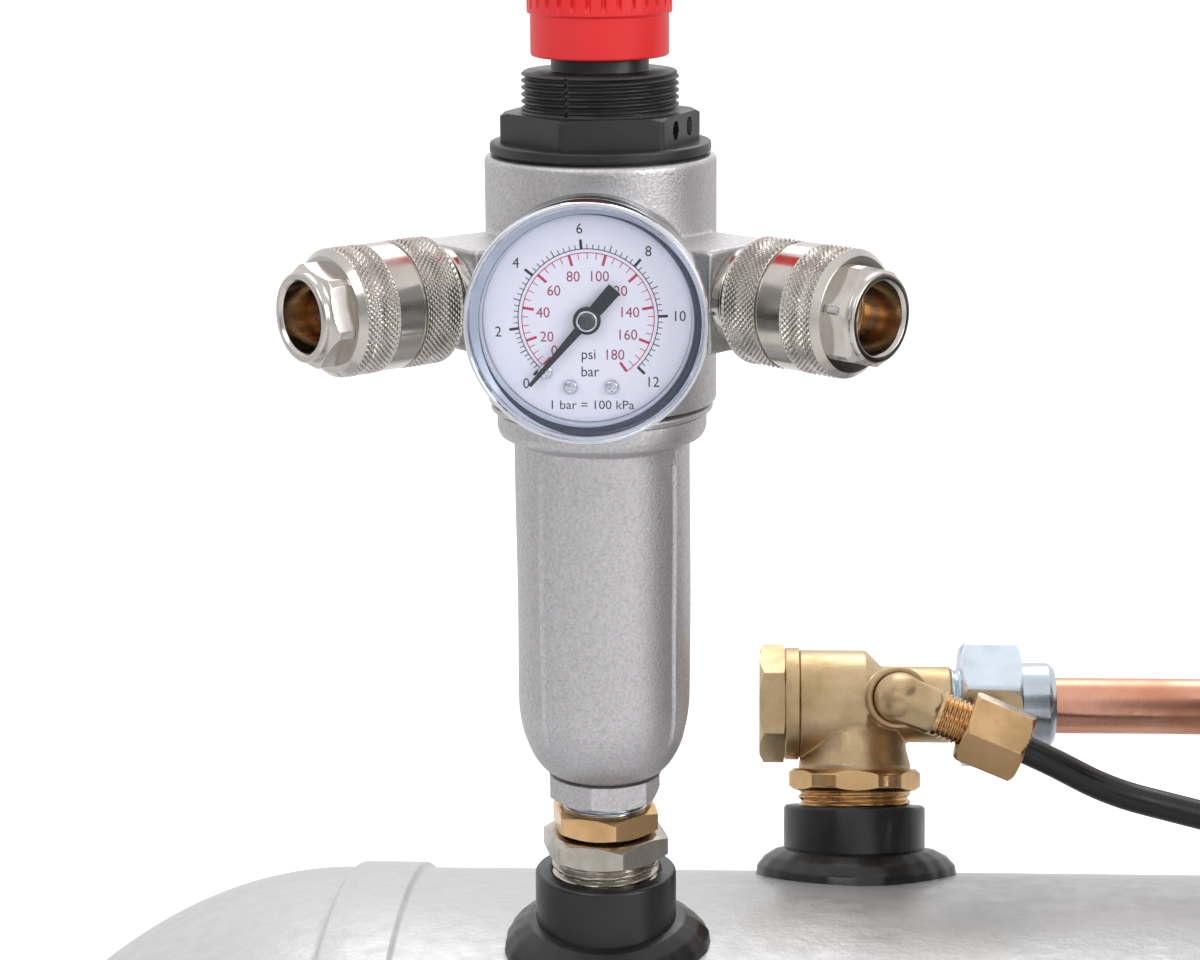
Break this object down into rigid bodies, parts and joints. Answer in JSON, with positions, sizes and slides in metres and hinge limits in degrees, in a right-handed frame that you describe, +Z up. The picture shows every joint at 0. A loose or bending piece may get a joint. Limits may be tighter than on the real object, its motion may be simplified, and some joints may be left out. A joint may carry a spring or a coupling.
{
  "type": "piston air compressor",
  "caption": "Wheeled air compressor: finned piston pump in line with its motor on a lying tank, with pressure switch, check valve, filter regulator, gauge and quick couplers.",
  "frame": {"origin": "on the floor under the middle of the machine", "axes": "+X along the tank from the regulator end to the fan end, +Y to the back, away from the gauge's viewer, +Z up"},
  "size_m": [0.89, 0.365, 0.6346],
  "materials": {
    "tank_paint": "silver grey paint with orange peel",
    "boss_paint": "gloss black paint",
    "black_rubber": "matt",
    "wheel_plastic": "black moulded wheel with rubber tyre",
    "zinc_steel": "zinc plated",
    "nickel_steel": "nickel plated",
    "nickel_brass": "nickel plated brass",
    "satin_brass": "satin forged brass",
    "copper": "drawn copper tube",
    "cast_aluminium": "sand cast, light grey",
    "pump_casting": "die cast",
    "cylinder_iron": "black painted grey iron",
    "piston_aluminium": "machined",
    "shaft_steel": "ground",
    "black_plastic": "moulded black",
    "red_plastic": "moulded red",
    "valve_rubber": "black",
    "gauge_chrome": "polished",
    "dial_white": "white enamel",
    "pointer_black": "black enamel",
    "clear_window": "clear"
  },
  "bodies": {
    "machine": {"tank": "tank_paint", "tank_bosses": "boss_paint", "foot_bracket": "tank_paint", "wheel_bracket": "tank_paint", "rubber_mounts": "black_rubber", "wheel_bolts": "zinc_steel", "handle_tube": "tank_paint", "handle_grip": "black_rubber", "pump_platform": "tank_paint", "crankcase": "pump_casting", "crankcase_cover": "pump_casting", "oil_sight_glass": "clear_window", "oil_breather": "red_plastic", "cylinder": "cylinder_iron", "cylinder_head": "pump_casting", "head_bolts": "zinc_steel", "air_filter": "black_plastic", "motor_housing": "pump_casting", "fan_cowl": "black_plastic", "terminal_box": "black_plastic", "check_valve_body": "satin_brass", "check_valve_cap": "satin_brass", "pipe_nuts": "zinc_steel", "delivery_pipe": "copper", "unloader_fittings": "satin_brass", "unloader_tube": "black_plastic", "manifold": "satin_brass", "pressure_switch_base": "black_plastic", "pressure_switch_cover": "black_plastic", "safety_valve": "satin_brass", "tank_gauge": "gauge_chrome", "drain_valve": "satin_brass", "steel_nipple": "nickel_steel", "brass_nipple": "satin_brass", "filter_bowl": "cast_aluminium", "regulator_body": "cast_aluminium", "regulator_bonnet": "black_plastic", "regulator_spring": "shaft_steel", "gauge_case": "gauge_chrome", "gauge_dial": "dial_white", "gauge_glass": "clear_window", "left_coupler_body": "nickel_brass", "right_coupler_body": "nickel_brass"},
    "front_wheel_turning": {"front_wheel": "wheel_plastic"},
    "rear_wheel_turning": {"rear_wheel": "wheel_plastic"},
    "adjusting_screw": {"regulator_screw": "shaft_steel"},
    "adjusting_knob": {"regulator_knob": "red_plastic"},
    "gauge_needle": {"gauge_pointer": "pointer_black"},
    "left_sleeve": {"left_coupler_sleeve": "nickel_brass"},
    "right_sleeve": {"right_coupler_sleeve": "nickel_brass"},
    "left_poppet": {"left_coupler_poppet": "satin_brass"},
    "right_poppet": {"right_coupler_poppet": "satin_brass"},
    "check_poppet": {"check_valve_poppet": "valve_rubber"},
    "switch_button": {"pressure_switch_knob": "red_plastic"},
    "safety_pull": {"safety_valve_ring": "zinc_steel"},
    "drain_screw": {"drain_knob": "black_plastic"},
    "crank": {"crankshaft": "shaft_steel", "cooling_fan": "black_plastic"},
    "piston_and_rod": {"piston": "piston_aluminium", "connecting_rod": "piston_aluminium"}
  },
  "joints": [
    {"name": "front_wheel_turn", "type": "hinge", "parent": "machine", "child": "front_wheel_turning", "pos_m": [0.24529, -0.1555, 0.075], "axis": [0, 1, 0], "continuous": true},
    {"name": "rear_wheel_turn", "type": "hinge", "parent": "machine", "child": "rear_wheel_turning", "pos_m": [0.24529, 0.1555, 0.075], "axis": [0, 1, 0], "continuous": true},
    {"name": "regulator_turn", "type": "hinge", "parent": "machine", "child": "adjusting_screw", "pos_m": [-0.18591, -0.0094, 0.538], "axis": [0, 0, -1], "range_deg": [0, 1440]},
    {"name": "regulator_knob_lift", "type": "slide", "parent": "adjusting_screw", "child": "adjusting_knob", "axis": [0, 0, 1], "range_m": [0, 0.003]},
    {"name": "gauge_needle_turn", "type": "hinge", "parent": "machine", "child": "gauge_needle", "pos_m": [-0.18591, -0.0605, 0.4984], "axis": [0, 1, 0], "range_deg": [0, 270], "stiffness_Nm_per_rad": 0.0002, "springref_deg": -11.46},
    {"name": "left_sleeve_pull", "type": "slide", "parent": "machine", "child": "left_sleeve", "axis": [0.7501, 0.6613, 0], "range_m": [0, 0.0032], "stiffness_N_per_m": 1500, "springref_m": -0.002},
    {"name": "right_sleeve_pull", "type": "slide", "parent": "machine", "child": "right_sleeve", "axis": [-0.7501, 0.6613, 0], "range_m": [0, 0.0032], "stiffness_N_per_m": 1500, "springref_m": -0.002},
    {"name": "left_poppet_push", "type": "slide", "parent": "machine", "child": "left_poppet", "axis": [0.7501, 0.6613, 0], "range_m": [0, 0.003], "stiffness_N_per_m": 600, "springref_m": -0.002},
    {"name": "right_poppet_push", "type": "slide", "parent": "machine", "child": "right_poppet", "axis": [-0.7501, 0.6613, 0], "range_m": [0, 0.003], "stiffness_N_per_m": 600, "springref_m": -0.002},
    {"name": "check_poppet_open", "type": "slide", "parent": "machine", "child": "check_poppet", "axis": [-1, 0, 0], "range_m": [0, 0.004], "stiffness_N_per_m": 300, "springref_m": -0.002},
    {"name": "switch_button_pull", "type": "slide", "parent": "machine", "child": "switch_button", "axis": [0, 0, 1], "range_m": [0, 0.006]},
    {"name": "safety_ring_pull", "type": "slide", "parent": "machine", "child": "safety_pull", "axis": [-1, 0, 0], "range_m": [0, 0.0025], "stiffness_N_per_m": 3000, "springref_m": -0.002},
    {"name": "drain_screw_turn", "type": "hinge", "parent": "machine", "child": "drain_screw", "pos_m": [0.04029, 0, 0.045], "axis": [0, 0, 1], "range_deg": [0, 720]},
    {"name": "crank_turn", "type": "hinge", "parent": "machine", "child": "crank", "pos_m": [0.07209, 0, 0.461], "axis": [1, 0, 0], "continuous": true},
    {"name": "piston_stroke", "type": "slide", "parent": "machine", "child": "piston_and_rod", "axis": [0, 0, -1], "range_m": [0, 0.04]}
  ]
}
